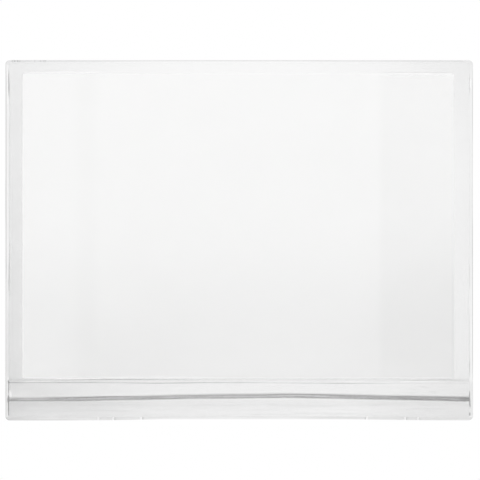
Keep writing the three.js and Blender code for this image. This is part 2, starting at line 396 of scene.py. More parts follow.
# Columns lie close together at both sides, and rows at the foot, along the pressed line and at the top.
across, up = np.meshgrid(
    places((sheet_low[0], -148, 0.7), (-148, 148, 2), (148, sheet_high[0], 0.7)),
    places(
        (sheet_low[2], -112, 0.7), (-112, -98.5, 3), (-98.5, -96, 0.25), (-96, 112, 4),
        (112, sheet_high[2], 0.7),
    ),
)
# The back film's density: its own haze and the painted shade, less along the pressed lines.
tone = (back_haze + backing_shade(across, up)) * (1 - clear_lines(across, up))
across, up = round_corners(across, up, sheet_low, sheet_high, film_corner_radius, film_corner_radius)
up = up + foot_lift(across, up)
back_film = closed_skin(
    "back_film_look",
    sheet_points(across, up, back_front),
    sheet_points(across, up, back_rear),
    {"tone": tone, "shade_lines": 0, "highlights": 0},
)
take_place(back_film, "pocket", film_material)

# Bottom strip: a band of the same vinyl laid over the foot of the back film. Its ends and its foot are
# melted into the rim and its upper edge is sealed by the ledge, so it stiffens the foot of the pocket.
strip_low, strip_high = corners("bottom_strip")
strip_rear = -strip_high[1]
strip_front = -strip_low[1]
strip_sheet_high = strip_high - weld_gap
layer_gap = 0.03


def slit(place, start, end, fade):
    """1 between two places along a line, with a smooth fade of the given length inside both ends."""
    return smooth_step(place - start, fade) * smooth_step(end - place, fade)


def strip_marks(across, up):
    """Faint long lines where the strip and the back film cling to each other, drawn as painted shade and
    painted highlight: three dark level lines and a light one, whose height and strength wander along
    them, with short dark smudges and light streaks."""
    shade_lines = strokes(across, up, (
        ((118, -102.2), (123, -103.6), 1.0, 6, 0.05), ((124, -100.6), (131, -101.8), 0.9, 6, 0.06),
        ((114, -104.9), (123, -104.8), 0.4, 6, 0.07), ((129, -104.4), (137, -104.2), 0.6, 6, 0.07),
        ((119, -115.9), (143, -116.1), 0.4, 6, 0.07), ((88, -112.9), (100, -113.4), 0.5, 6, 0.04),
        ((36, -119.6), (78, -119.9), 0.6, 6, 0.05), ((-88, -117.6), (-76, -117.8), 0.4, 6, 0.05),
    ))
    for height, seed, strength in ((-113.6, 11, 0.030), (-117.2, 12, 0.035), (-121.0, 13, 0.05)):
        level = height + 1.2 * (drift(across, seed, 150) - 0.5)
        shade_lines = shade_lines + strength * drift(across, seed + 40, 90) * bell(up - level, 0.5)
    highlights = strokes(across, up, (
        ((-88, -106.0), (-70, -105.6), 0.4, 5, 0.12), ((-117, -111.9), (-106, -111.8), 0.4, 5, 0.08),
        ((20, -104.9), (34, -104.8), 0.4, 5, 0.10), ((132, -105.8), (139, -105.9), 0.4, 5, 0.12),
        ((120, -117.4), (127, -117.3), 0.5, 5, 0.12), ((98, -116.6), (104, -116.7), 0.5, 5, 0.10),
        ((-92, -111.6), (-66, -109.6), 0.5, 5, 0.06), ((45, -117.5), (90, -117.6), 1.0, 5, 0.05),
    ))
    light_level = -116.0 + drift(across, 22, 120)
    highlights = highlights + 0.06 * drift(across, 21, 60) * bell(up - light_level, 0.6)
    return shade_lines, highlights


def strip_density_and_shade(across, up):
    """Density of the bottom strip, with painted shade in it: nearly clear behind the lip and above it.
    Below the lip it is even, a step denser from a third of the strip's height up, which is the lip's
    painted shadow, and denser towards both ends, with a denser level band in each half."""
    below_lip = smooth_step(-106 - up, 6)
    even = 0.085 + 0.022 * smooth_step(up + 115.2, 1.6) + 0.025 * smooth_step(across - 60, 60)
    left_end = (0.03 + 0.045 * smooth_step(up + 120, 4)) * smooth_step(-60 - across, 60)
    right_band = 0.04 * slit(across, 0, 95, 40) * bell(up + 114.5, 2)
    left_band = 0.025 * slit(across, -92, 20, 30) * bell(up + 115, 1.5)
    return below_lip * (even + left_end + right_band) + left_band + 0.015 * (1 - below_lip)


across, up = np.meshgrid(
    places((sheet_low[0], sheet_high[0], 1.6)),
    places((sheet_low[2], strip_sheet_high[2], 0.35)),
)
strip_tone = strip_density_and_shade(across, up)
strip_shade_lines, strip_highlights = strip_marks(across, up)
across, up = round_corners(across, up, sheet_low, strip_sheet_high, film_corner_radius, 0)
up = up + foot_lift(across, up)
bottom_strip = closed_skin(
    "bottom_strip_look",
    sheet_points(across, up, strip_front),
    sheet_points(across, up, strip_rear + layer_gap),
    {"tone": strip_tone, "shade_lines": strip_shade_lines, "highlights": strip_highlights},
)
take_place(bottom_strip, "pocket", film_material)

# Ledge: the pressed weld that seals the strip's upper edge to the back film, and on which the card
# stands. A bar electrode sinks its middle and squeezes a ridge out along each side, so it shows as a
# double line, painted dark as the shade of the two ridges.
ledge_low, ledge_high = corners("ledge_weld")
ledge_rear = -ledge_high[1]
ledge_front = -ledge_low[1]
ledge_press = 0.08
ridge_width = 0.55
ridge_slope = 0.35
ridge_loss = 0.35

weld_material = clear_plastic("pressed_vinyl_weld", body_grey=0.52, haze=0.006, roughness=0.16, scuff=0.01)


def bells(place, rows):
    """The sum of bells along a line. Each row gives a middle, a width and a strength."""
    return sum(strength * bell(place - middle, width) for middle, width, strength in rows)


def ledge_depth(across, up):
    """Depth of the ledge's front: the pressed middle, and a ridge along each side whose height
    wanders a little along its length."""
    from_edge = np.minimum(up - ledge_low[2], ledge_high[2] - up)
    ridge = 1 - smooth_step(from_edge - ridge_width, ridge_slope)
    uneven = 1 - ridge_loss * drift(across, 5, 30)
    return ledge_front - ledge_press + ledge_press * ridge * uneven


def upper_line(across):
    """Strength of the ledge's upper line, a sum of bells: strongest a quarter of the way along and
    towards its right end."""
    return bells(across, (
        (-148, 5, 0.06), (-108, 16, 0.14), (-82, 26, 0.46), (-46, 20, 0.16), (62, 12, 0.04),
        (122, 13, 0.26), (140, 13, 0.30),
    ))


def upper_drop(across):
    """How far the upper line lies below the ledge's edge: a step down at each end, and bells between
    them, so that it lies lowest near both ends."""
    ends = 0.12 * smooth_step(-10 - across, 60) + 0.95 * smooth_step(across - 142, 12)
    return 0.68 + ends + bells(across, (
        (-160, 12, 0.25), (-138, 15, 0.70), (-118, 14, 0.25), (-88, 34, -0.28), (122, 14, 0.50),
    ))


def lower_line(across):
    """Strength of the ledge's lower line: faint all along, a touch darker in its left half, and
    stronger by bells at its left end and on both sides of the middle."""
    return 0.06 + 0.05 * slit(across, -155, 0, 30) + bells(across, (
        (-157, 7, 0.30), (-125, 26, 0.18), (-102, 14, 0.14), (-68, 16, 0.10), (-45, 26, 0.22),
        (-4, 22, 0.20), (55, 24, 0.18), (72, 9, 0.18), (88, 16, 0.14),
    ))


def ledge_lines(across, up):
    """The ledge's two dark lines of painted shade, where its ridges bend the light, each a bell of the
    height above or below its own wandering level.
    """
    upper_level = ledge_high[2] - upper_drop(across)
    lower_level = ledge_low[2] + 0.78 - 0.4 * bell(across + 56, 22) - 0.62 * smooth_step(across, 80)
    upper = upper_line(across) * bell(up - upper_level, 0.22)
    return upper + lower_line(across) * bell(up - lower_level, 0.36)


across, up = np.meshgrid(
    places((sheet_low[0], sheet_high[0], 0.9)),
    places((ledge_low[2], ledge_high[2], 0.1)),
)
ledge = closed_skin(
    "ledge_weld_look",
    sheet_points(across, up, ledge_depth(across, up)),
    sheet_points(across, up, ledge_rear + layer_gap),
    {"tone": 0.0, "shade_lines": ledge_lines(across, up), "highlights": 0.0},
)
take_place(ledge, "pocket", weld_material)

# Rim: the weld all round, where a heated bar melts the films into one and cuts them to size. Its band
# is pressed in, and a ridge of squeezed vinyl runs along its inner side. Below the mouth the front film
# is missing, so the rim is one film thinner there.
rim_low, rim_high = corners("rim_weld")
rim_half_width = rim_high[0]
rim_half_height = rim_high[2]
rim_rear = -rim_high[1]
rim_front = -rim_low[1]
rim_press = 0.15
rim_ridge = 0.65
rim_ridge_loss = 0.25
rim_ripple = 0.02
rim_edge = 0.4
rim_edge_depth = 0.2
rim_outer_radius = 3
rim_step = 1.2
mouth_low = corners("front_film")[0][2]
run_columns = 800
run_rows = 240
arc_steps = 12
rim_steps = 20


def rim_line(half_across, half_up, radius):
    """Points round a rectangle with round corners, from the foot of the right side upward. Straight
    runs and arcs have a fixed count, so that the points of two such lines answer to each other."""
    right = np.linspace(-half_up + radius, half_up - radius, run_rows, endpoint=False)
    top = np.linspace(half_across - radius, -half_across + radius, run_columns, endpoint=False)
    turn = np.linspace(0, math.pi / 2, arc_steps, endpoint=False)
    pieces = []
    for quarter, (side, height) in enumerate(((1, 1), (-1, 1), (-1, -1), (1, -1))):
        if quarter % 2 == 0:
            run = np.stack([np.full(run_rows, side * half_across), side * right], -1)
        else:
            run = np.stack([-side * top, np.full(run_columns, height * half_up)], -1)
        angle = turn + quarter * math.pi / 2
        centre = (side * (half_across - radius), height * (half_up - radius))
        arc = np.stack([centre[0] + radius * np.cos(angle), centre[1] + radius * np.sin(angle)], -1)
        pieces.extend([run, arc])
    return np.concatenate(pieces)


# The rim's front is a grid of stations round it by steps from its outer line to its inner one.
outer_line = rim_line(rim_half_width, rim_half_height, rim_outer_radius)
inner_line = rim_line(film_half_width, film_top, film_corner_radius)
rim_width = np.hypot(*(outer_line - inner_line).T)
share = np.linspace(0, 1, rim_steps)
spot = outer_line[:, None, :] + (inner_line - outer_line)[:, None, :] * share[None, :, None]
spot_across = spot[..., 0]
spot_up = spot[..., 1]
inward = rim_width[:, None] * share[None, :]
from_inside = rim_width[:, None] - inward
station_across = outer_line[:, 0][:, None]
station_up = outer_line[:, 1][:, None]
along = np.cumsum(np.hypot(*(outer_line - np.roll(outer_line, 1, axis=0)).T))[:, None]

# Its depth is the full front less the press, with the ridge, a rounded outer edge and a fine ripple.
has_front_film = smooth_step(station_up - (mouth_low - rim_step), rim_step)
full_front = strip_front + (rim_front - strip_front) * has_front_film
ridge = 1 - smooth_step(from_inside - rim_ridge * 0.5, rim_ridge * 0.5)
uneven = rim_ridge_loss * drift(along, 31, 25)
front_depth = full_front - rim_press + rim_press * ridge * (1 - uneven)
edge_share = np.clip(1 - inward / rim_edge, 0, 1)
rounding = rim_edge_depth * (1 - np.sqrt(1 - edge_share ** 2))
front_depth = front_depth - rounding - rim_ripple * drift(along, 32, 12) * (1 - ridge)
rear_depth = rim_rear + rounding * 0.6

beside_corners = np.abs(station_up) < rim_half_height - rim_outer_radius
side_left = beside_corners & (station_across < -film_half_width)
side_right = beside_corners & (station_across > film_half_width)
top_side = station_up > film_top
foot_side = station_up < film_bottom


def weld_lines(place, inward, rows):
    """The sum of lines along a weld. Each row gives the line's two ends, the length over which it
    fades, its distance inward from the weld's edge, its width and its strength."""
    return sum(
        strength * slit(place, start, end, fade) * bell(inward - distance, width)
        for start, end, fade, distance, width, strength in rows
    )


def tick_marks(place, middles, width):
    """Small marks across the weld at these places along it."""
    return sum(bell(place - middle, width) for middle in middles)


def top_marks(across):
    """The top weld's dark marks of painted shade and light marks of painted highlight: a dark line near
    its outer edge, strongest over the middle and faint at both ends, a second faint one towards both
    sides, and ticks across its left end."""
    strength = 0.16 + 0.05 * slit(across, -70, 75, 20) - 0.12 * smooth_step(-155.5 - across, 3)
    strength = strength - 0.05 * smooth_step(across - 118, 25) - 0.09 * smooth_step(across - 152, 6)
    distance = 0.3 - 0.2 * slit(across, -80, 70, 30)
    shade_lines = strength * bell(inward - distance, 0.58)
    shade_lines = shade_lines + 0.04 * bell(inward - 1.1, 0.4) * smooth_step(np.abs(across) - 60, 60)
    near_edge = bell(inward - 0.4, 0.7)
    ticks = 0.45 * tick_marks(across, (-154.6, -152.5), 0.35)
    ticks = ticks + 0.25 * tick_marks(across, (-156.0, -151.2, -140.8, -136.7, -134.6, -133.3), 0.35)
    light_ticks = tick_marks(across, (-155.3, -153.6, -151.8, -141.5, -140.1, -135.7, -132.6), 0.3)
    return shade_lines + ticks * near_edge, 0.35 * light_ticks * near_edge


def foot_marks(across):
    """The foot weld's dark marks of painted shade and light marks of painted highlight: a dark line along
    its middle, whose strength wanders, with darker stretches on it and near the outer edge, and dark
    and light ticks across it."""
    shade_lines = (0.03 + 0.07 * drift(across, 35, 120)) * bell(inward - 1.5, 0.6)
    shade_lines = shade_lines + 0.20 * smooth_step(-98 - across, 30) * bell(inward - 0.1, 0.36)
    shade_lines = shade_lines + weld_lines(across, inward, (
        (-105, -50, 20, 0.4, 0.45, 0.08), (30, 156, 30, 0.5, 0.45, 0.09), (40, 135, 30, 1.4, 0.6, 0.06),
    ))
    shade_lines = shade_lines + 0.20 * tick_marks(across, (-85.6, -66.3, 87.0, 115.4), 0.35)
    shade_lines = shade_lines + 0.05 * tick_marks(across, (-98.2, -96.0, 122.0, 124.4), 0.35)
    highlights = 0.45 * tick_marks(across, (-97.1, -86.7, -67.5, 88.0, 114.3, 123.2), 0.45)
    return shade_lines, highlights


def rim_density(across, up):
    """Density of the rim: the back film's painted shade and a haze, more at the foot. Along the sides it
    is held at a limit, and then raised as painted shade at both ends of the right side and low on the
    left one."""
    density = backing_shade(across, up) + 0.049 + 0.06 * foot_side
    density = np.where(side_left | side_right, np.minimum(density, 0.119), density)
    right_ends = 0.08 * smooth_step(-96 - up, 4) + 0.05 * smooth_step(up - 94, 26)
    left_foot = 0.035 * smooth_step(-45 - up, 40)
    return density + right_ends * side_right + left_foot * side_left


# The side welds' lines: the dark ones are painted shade and the light ones painted highlight, where the
# squeezed vinyl bends the light.
left_shade_lines = weld_lines(spot_up, inward, (
    (-124, 124, 4, 0.1, 0.35, 0.11), (8, 46, 10, 0.1, 0.35, 0.08), (-30, 126, 20, 0.95, 0.32, 0.17),
    (-98, -10, 10, 0.95, 0.32, 0.12), (-126, -92, 6, 0.95, 0.32, 0.11), (-98, -44, 6, 2.1, 0.5, 0.12),
    (-50, -24, 6, 2.1, 0.5, 0.08), (96, 121, 9, 2.35, 0.42, 0.34), (-20, 95, 30, 2.5, 0.3, 0.08),
    (-40, -8, 12, 2.45, 0.34, 0.20), (-98.6, -95.8, 1.5, 2.4, 0.6, 0.55), (-106, -97, 1, 2.4, 0.32, 0.44),
    (-112.6, -105.6, 1.6, 2.25, 0.4, 0.5), (-112.2, -107.6, 1.6, 1.7, 0.4, 0.28),
    (-119.4, -110.6, 2, 2.28, 0.44, 0.5), (-123, -117.6, 2, 2.3, 0.36, 0.45),
))
left_highlights = weld_lines(spot_up, inward, (
    (-50, 164, 40, 1.65, 0.35, 0.14), (90, 120, 9, 1.65, 0.3, 0.25),
))
right_shade_lines = weld_lines(spot_up, inward, (
    (-124, -50, 14, 0.0, 0.2, 0.07), (-102, 22, 20, 0.35, 0.34, 0.17), (2, 82, 20, 0.35, 0.34, 0.06),
    (62, 124, 20, 0.35, 0.34, 0.17), (98, 117, 7, 2.4, 0.35, 0.15), (-37, -14, 6, 2.4, 0.3, 0.10),
    (-98, -40, 20, 2.4, 0.3, 0.10), (-97, -78, 8, 2.4, 0.32, 0.20), (-121.4, -117.9, 1.5, 2.3, 0.4, 0.45),
))
right_slant = stroke(spot_across, spot_up, (158.4, -104.0), (159.05, -114.8), 0.38, 1.6)
right_shade_lines = right_shade_lines + 0.45 * right_slant
right_highlights = weld_lines(spot_up, inward, (
    (103, 113, 4, 1.7, 0.35, 0.40), (-84, -14, 24, 1.7, 0.35, 0.14),
))
top_shade_lines, top_highlights = top_marks(spot_across)
foot_shade_lines, foot_highlights = foot_marks(spot_across)
rim_shade_lines = left_shade_lines * side_left + right_shade_lines * side_right
rim_shade_lines = rim_shade_lines + top_shade_lines * top_side + foot_shade_lines * foot_side
rim_highlights = left_highlights * side_left + right_highlights * side_right
rim_highlights = rim_highlights + top_highlights * top_side + foot_highlights * foot_side
rim_marks = {"tone": rim_density(spot_across, spot_up), "shade_lines": rim_shade_lines, "highlights": rim_highlights}

# Each station's ring of points goes over the front to the inner line and back along the rear.
lifted_up = spot_up + foot_lift(spot_across, spot_up)
front_points = sheet_points(spot_across, lifted_up, front_depth)
rear_points = sheet_points(spot_across, lifted_up, rear_depth)
ring = np.concatenate([front_points, rear_points[:, ::-1]], axis=1)
ring_marks = {
    mark: np.concatenate([values, values[:, ::-1]], axis=1) for mark, values in rim_marks.items()
}
here = np.arange(ring.shape[0] * ring.shape[1]).reshape(ring.shape[:2])
ahead = np.roll(here, -1, axis=0)
ring_faces = np.stack([here, ahead, np.roll(ahead, -1, axis=1), np.roll(here, -1, axis=1)], -1)
rim = make_mesh("rim_weld_look", ring.reshape(-1, 3), ring_faces.reshape(-1, 4), ring_marks)
take_place(rim, "pocket", weld_material)

# Card: one A4 sheet of stiff white card with rounded corners, cut by a die. It stands on the ledge
# between the two films, and the die has pressed its cut edge a touch thinner than the sheet.
card_low, card_high = corners("insert_card")
card_middle = (card_low[0] + card_high[0]) / 2
card_half_width = (card_high[0] - card_low[0]) / 2
card_corner_radius = 1.8
card_edge = 0.03
card_edge_width = 0.4


def card_material():
    """Uncoated white card: paper fibres as a fine stretched grain in colour and bump, and a soft
    mottle where the pulp lies thicker."""
    material, tree, output = new_material("uncoated_card")
    fibre = grain(tree, scale=(900, 900, 2600), detail=5, contrast=1.0)
    mottle = grain(tree, scale=(22, 22, 30), detail=3, contrast=1.0)
    shade = mix_colours(tree, mottle, (0.933, 0.933, 0.930, 1), (0.955, 0.955, 0.953, 1))
    colour = mix_colours(tree, calculate(tree, "MULTIPLY", fibre, 0.12), shade, (0.86, 0.86, 0.85, 1))
    paper = add_node(tree, "ShaderNodeBsdfPrincipled", {
        "Specular IOR Level": 0.2,
        "Base Color": colour,
        "Roughness": calculate(tree, "MULTIPLY_ADD", mottle, 0.1, 0.75),
        "Normal": bump_normal(tree, fibre, strength=0.2, distance=0.00003),
    })
    tree.links.new(paper.outputs["BSDF"], output.inputs["Surface"])
    return material


def edge_places(low, high, edge, fine, coarse):
    """Places from low to high: a fine step within the edge at both ends, and a coarse one between."""
    return places((low, low + edge, fine), (low + edge, high - edge, coarse), (high - edge, high, fine))


def from_sides(across, up, low, high):
    """Distance from the nearest side of a piece, whose lowest and highest corner are given."""
    aside = np.minimum(across - low[0], high[0] - across)
    return np.minimum(aside, np.minimum(up - low[2], high[2] - up))


def flat_piece(node, across, up, front_loss, rear_loss):
    """A closed piece over a grid, between a node's front and rear face, each set in by a loss."""
    low, high = corners(node)
    front = sheet_points(across, up, -low[1] - front_loss)
    rear = sheet_points(across, up, -high[1] + rear_loss)
    return closed_skin(f"{node}_look", front, rear, {})


across, up = np.meshgrid(
    edge_places(card_low[0], card_high[0], edge=2, fine=0.2, coarse=4),
    edge_places(card_low[2], card_high[2], edge=2, fine=0.2, coarse=4),
)
worn_edge = card_edge * (1 - smooth_step(from_sides(across, up, card_low, card_high), card_edge_width))
across, up = round_corners(across, up, card_low, card_high, card_corner_radius, card_corner_radius)
card = flat_piece("insert_card", across, up, worn_edge, worn_edge)
take_place(card, "card", card_material())

# Front film: the sheet in front of the card, welded into the rim at its sides and top. It rises from
# the rim over the card, hangs a little open towards its free lower edge, and that edge, cut in a low
# bow, is turned forward as a lip. The lip bends the light most, and its dark double line is painted
# shade.
film_thickness = 0.25
side_rise = 7.6
top_rise = 6
front_clearance = 0.25
mouth_rise = 2.5
mouth_peak = 31
mouth_bow_power = 1.3
lip_height = 3.3
lip_angle = math.radians(65)
lip_fade = 7
mouth_gape = 0.8
gape_reach = 22
film_wave = 0.08
film_on_strip = strip_front + layer_gap
film_over_card = -card_low[1] + front_clearance
lip_radius = lip_height / math.sin(lip_angle)
lip_rows = 20
near_lip_rows = 12
card_blur = 1.2


def mouth_uneven(across):
    """How far the free edge strays from its bow: one smooth step down and one up towards its right
    end, and bells for its low swells and shallow dips."""
    steps = 0.14 * smooth_step(150 - across, 60) + 0.25 * smooth_step(across - 60, 80)
    return steps + bells(across, (
        (-112, 26, -0.35), (-70, 13, -0.20), (-42, 10, 0.12), (38, 34, 0.15), (104, 16, -0.12),
    ))


def mouth_edge(across):
    """Height of the free edge: a low bow by a power of the share of the way from its peak to either
    end, highest a little right of the middle, and its unevenness."""
    end = np.where(across < mouth_peak, -film_half_width, film_half_width)
    share = np.abs((across - mouth_peak) / (end - mouth_peak))
    return mouth_low + mouth_rise * (1 - share ** mouth_bow_power) + mouth_uneven(across)


def film_depth(across, up):
    """Depth of the inner face without the lip: close on the strip at the rim, up over the card by
    smooth steps from the sides and the top, further off towards the mouth by an exponential, and
    wandering a little."""
    rise = smooth_step(film_half_width - np.abs(across), side_rise) * smooth_step(film_top - up, top_rise)
    from_mouth = np.maximum(up - mouth_edge(across) - lip_height, 0)
    bow = np.cos(across / film_half_width * math.pi / 2)
    gape = mouth_gape * bow * np.exp(-from_mouth / gape_reach)
    wave = film_wave * (drift(across + 0.3 * up, 61, 130) + drift(up - 0.4 * across, 62, 110) - 2) / 2
    return film_on_strip + rise * (film_over_card - film_on_strip + gape + wave)


def film_panel():
    """The grid of the front film from the free edge up to the top: rows of the lip along its arc, rows
    of the panel that go over from the mouth's bow to level, and level rows. Columns lie close together
    at both sides. Gives the place across, the height, the inner depth, the slope, and the turn of the
    lip as a share."""
    columns = places((sheet_low[0], -145, 0.32), (-145, 143, 2.4), (143, sheet_high[0], 0.32))
    heights = places((-103, -98, 0.5), (-98, -93, 0.3), (-93, 110, 3.2), (110, sheet_high[2], 0.35))
    lip_top = mouth_edge(columns) + lip_height
    fade = smooth_step(film_half_width - np.abs(columns), lip_fade)
    turns = np.linspace(lip_angle, 0, lip_rows, endpoint=False)[:, None]
    lip_up = lip_top - lip_radius * np.sin(turns)
    lip_depth = film_depth(columns, lip_top) + fade * lip_radius * (1 - np.cos(turns))
    lip_slope = np.arctan(fade * np.tan(turns))
    near = np.linspace(0, 1, near_lip_rows, endpoint=False)[:, None]
    near_up = lip_top + (heights[0] - lip_top) * near
    panel_up = np.concatenate([near_up, np.repeat(heights[:, None], len(columns), axis=1)])
    panel_across = np.broadcast_to(columns, panel_up.shape)
    up = np.concatenate([lip_up, panel_up])
    across = np.broadcast_to(columns, up.shape)
    depth = np.concatenate([lip_depth, film_depth(panel_across, panel_up)])
    slope = np.concatenate([lip_slope, np.zeros_like(panel_up)])
    turned = np.concatenate([np.repeat(turns / lip_angle, len(columns), axis=1), np.zeros_like(panel_up)])
    return across, up, depth, slope, turned


def lip_shade(across, turned):
    """How dark the lip is painted, as the shade where it bends the light: full a little past its bend,
    faintest at its left end and darkest at its right. Two strands, where the light is lost in the bend,
    draw together and apart along it, and right of the middle the lip is darker at its bend and along its
    free edge as well."""
    reach = np.sin(turned * lip_angle) / math.sin(lip_angle)
    upper = 0.34 + 0.16 * (drift(across, 71, 190) - 0.5)
    lower = 0.74 + 0.20 * (drift(across, 72, 160) - 0.5) - 0.14 * bell(across - 130, 18)
    upper_strength = 0.12 + 0.16 * drift(across, 73, 120)
    lower_strength = 0.14 + 0.20 * drift(across, 74, 140)
    strands = upper_strength * bell(reach - upper, 0.14) + lower_strength * bell(reach - lower, 0.15)
    borders = 0.12 * bell(reach - 0.12, 0.1) + 0.07 * bell(reach - 0.95, 0.1) - 0.03
    strands = strands + slit(across, 12, 82, 22) * borders
    body = 0.14 + 0.15 * smooth_step(across + 146, 24) + 0.12 * smooth_step(across - 96, 24)
    body = body - 0.02 * smooth_step(across - 140, 10)
    body = body + bells(across, ((-104, 16, 0.07), (-10, 20, 0.08), (48, 16, 0.05), (86, 22, 0.10)))
    return smooth_step(reach, 0.10) * (body + strands) * (turned > 0)


def film_marks(across, up, turned):
    """The front film's painted lines, dark ones of painted shade and light ones of painted highlight:
    along both welds, round the card's edges, above the lip, and on the lip itself, with a painted
    highlight along the lip's free edge."""
    from_left = across + film_half_width
    from_right = film_half_width - across
    above_lip = up - mouth_edge(across) - lip_height
    unturned = turned == 0
    card_left = card_low[0] - 0.5
    lip_line = 0.05 + 0.13 * smooth_step(across + 75, 50) + 0.13 * smooth_step(across - 120, 25)
    shade_lines = lip_shade(across, turned) + lip_line * bell(above_lip - 0.1, 0.4) * unturned
    shade_lines = shade_lines + (0.03 + 0.05 * drift(up, 51, 70)) * bell(from_left - 0.15, 0.4)
    shade_lines = shade_lines + weld_lines(up, from_left, (
        (90, 118, 14, 0.3, 0.45, 0.22), (-42, 4, 14, 0.2, 0.4, 0.20), (-100, 60, 40, 2.3, 0.5, 0.03),
    ))
    shade_lines = shade_lines + weld_lines(up, from_right, ((-82, -6, 14, 0.45, 0.35, 0.05),))
    shade_lines = shade_lines + strokes(across, up, (
        ((card_left, 20), (card_left, 112), 0.35, 50, 0.05), ((147.2, -94), (147.0, -20), 0.45, 50, 0.05),
        ((98, 115.6), (147, 115.6), 0.35, 8, 0.09), ((-143, 116.6), (-141, 116.6), 0.3, 2, 0.07),
        ((-137, 116.9), (-120, 116.9), 0.4, 10, 0.04),
    ))
    glint = 0.12 * drift(across, 52, 70) + 0.12 * slit(across, -105, -25, 30)
    left_line = 0.10 + 0.20 * slit(up, 92, 119, 8) + 0.15 * slit(up, -42, 4, 14)
    highlights = glint * bell(above_lip - 0.45, 0.4) * unturned + left_line * bell(from_left - 1.1, 0.35)
    highlights = highlights + 0.03 * bell(from_right - 1.3, 0.4) + 0.25 * (turned > 0.97)
    highlights = highlights + strokes(across, up, (
        ((-157.9, -104.0), (-157.0, -107.4), 0.75, 2.2, 1.1), ((-144, 115.5), (-92, 115.5), 0.35, 12, 0.6),
        ((104, 114.2), (145, 114.2), 0.35, 12, 0.5), ((-149.1, -94), (-149.1, 60), 0.3, 40, 0.5),
        ((-149, -95.1), (-128, -95.1), 0.35, 8, 0.4), ((-128, -95.1), (-92, -94.9), 0.35, 8, 1.0),
        ((-82, -94.5), (-26, -94.4), 0.35, 16, 0.6),
    ))
    return shade_lines, highlights


def film_shade(across, up):
    """Painted shade in the front film's density: clear beside the card, and over it denser down its lower
    half, in a lobe at the lower right and a patch at the lower left, over the left magnetic strip, and
    from the right one on. Along the card's foot at the left a bright line of painted highlight takes
    most of it away."""
    inside = smooth_step(card_half_width + 0.6 - np.abs(across - card_middle), card_blur)
    inside = inside * smooth_step(card_high[2] + 0.6 - up, card_blur)
    inside = inside * smooth_step(up - card_low[2] + 0.4, 1.6)
    bright = stroke(across, up, (-150, -95.2), (-92, -95.2), 0.5, 16)
    bright = np.maximum(bright, stroke(across, up, (-92, -95.2), (-64, -94.5), 0.5, 10))
    bright = np.maximum(bright, stroke(across, up, (-64, -94.5), (-20, -94.6), 0.5, 10))
    foot = 0.031 * smooth_step(25 - up, 105)
    lobe = 0.030 * smooth_step(across - 60, 100) * smooth_step(45 - up, 145)
    patch = 0.012 * bell(across + 84, 34) * smooth_step(-45 - up, 40)
    left_band = 0.006 * slit(across, -113.5, -97, 3)
    right_band = 0.0125 * smooth_step(across - 96.2, 2)
    return inside * (1 - 0.9 * bright) * (foot + lobe + patch + left_band + right_band)


across, up, depth, slope, turned = film_panel()
film_shade_lines, film_highlights = film_marks(across, up, turned)
film_tone = film_shade(across, up)
flat_across, flat_up = round_corners(across, up, sheet_low, sheet_high, 0, film_corner_radius)
inner_face = sheet_points(flat_across, flat_up, depth)
outer_face = sheet_points(
    flat_across,
    flat_up + film_thickness * np.sin(slope),
    depth + (film_thickness - layer_gap * (slope == 0)) * np.cos(slope),
)
front_film = closed_skin("front_film_look", outer_face, inner_face, {
    "tone": film_tone, "shade_lines": film_shade_lines, "highlights": film_highlights,
})
take_place(front_film, "pocket", film_material)

# Adhesive tape: a double-sided layer on each magnetic strip, a little narrower than the strip. It is a
# thin creamy tissue soaked in adhesive, and bonds the strip to the back of the pocket.
tape_gap = 0.02
tape_edge = 0.6


def tape_material():
    """Tissue tape: creamy, with a fine cross grain and a dull shine."""
    material, tree, output = new_material("adhesive_tissue_tape")
    tissue = grain(tree, scale=(700, 700, 220), detail=4, contrast=1.4)
    tape = add_node(tree, "ShaderNodeBsdfPrincipled", {
        "Base Color": mix_colours(tree, tissue, (0.70, 0.68, 0.60, 1), (0.84, 0.83, 0.77, 1)),
        "Roughness": calculate(tree, "MULTIPLY_ADD", tissue, 0.2, 0.4),
    })
    tree.links.new(tape.outputs["BSDF"], output.inputs["Surface"])
    return material


def bar_grid(low, high, edge):
    """A grid over an upright bar, with close rows and columns along its edges."""
    return np.meshgrid(
        edge_places(low[0], high[0], edge, fine=edge / 4, coarse=0.5),
        edge_places(low[2], high[2], edge, fine=edge / 4, coarse=3),
    )


tape_finish = tape_material()
for side in ("left", "right"):
    tape_low, tape_high = corners(f"adhesive_tape_{side}")
    across, up = bar_grid(tape_low, tape_high, tape_edge)
    tape = flat_piece(f"adhesive_tape_{side}", across, up, tape_gap, tape_gap)
    take_place(tape, "pocket", tape_finish)

# Magnetic strips: two extruded bars of ferrite-filled rubber, 15 mm wide, cut to length. The die leaves
# fine draw lines along them, and the face that clings to the board is left bare.
strip_corner_radius = 0.6
strip_rounding = 0.12
groove_depth = 0.03
groove_pitch = 1.6
groove_width = 0.3
groove_inset = 0.8


def rubber_material():
    """Ferrite rubber: nearly black brown with light specks, draw lines along the strip and a dull
    face. A speck shows where the sixth power of its grain is high."""
    material, tree, output = new_material("ferrite_rubber")
    draw = grain(tree, scale=(1500, 1500, 14), detail=4, contrast=1.5)
    speck = grain(tree, scale=(2200, 2200, 2200), detail=3, contrast=2.2)
    speckled = calculate(tree, "POWER", calculate(tree, "MAXIMUM", speck, 0.0), 6.0)
    colour = mix_colours(tree, draw, (0.020, 0.019, 0.018, 1), (0.042, 0.040, 0.038, 1))
    rubber = add_node(tree, "ShaderNodeBsdfPrincipled", {
        "Specular IOR Level": 0.35,
        "Base Color": mix_colours(tree, speckled, colour, (0.16, 0.155, 0.15, 1)),
        "Roughness": calculate(tree, "MULTIPLY_ADD", draw, 0.2, 0.55),
        "Normal": bump_normal(tree, draw, strength=0.35, distance=0.00005),
    })
    tree.links.new(rubber.outputs["BSDF"], output.inputs["Surface"])
    return material


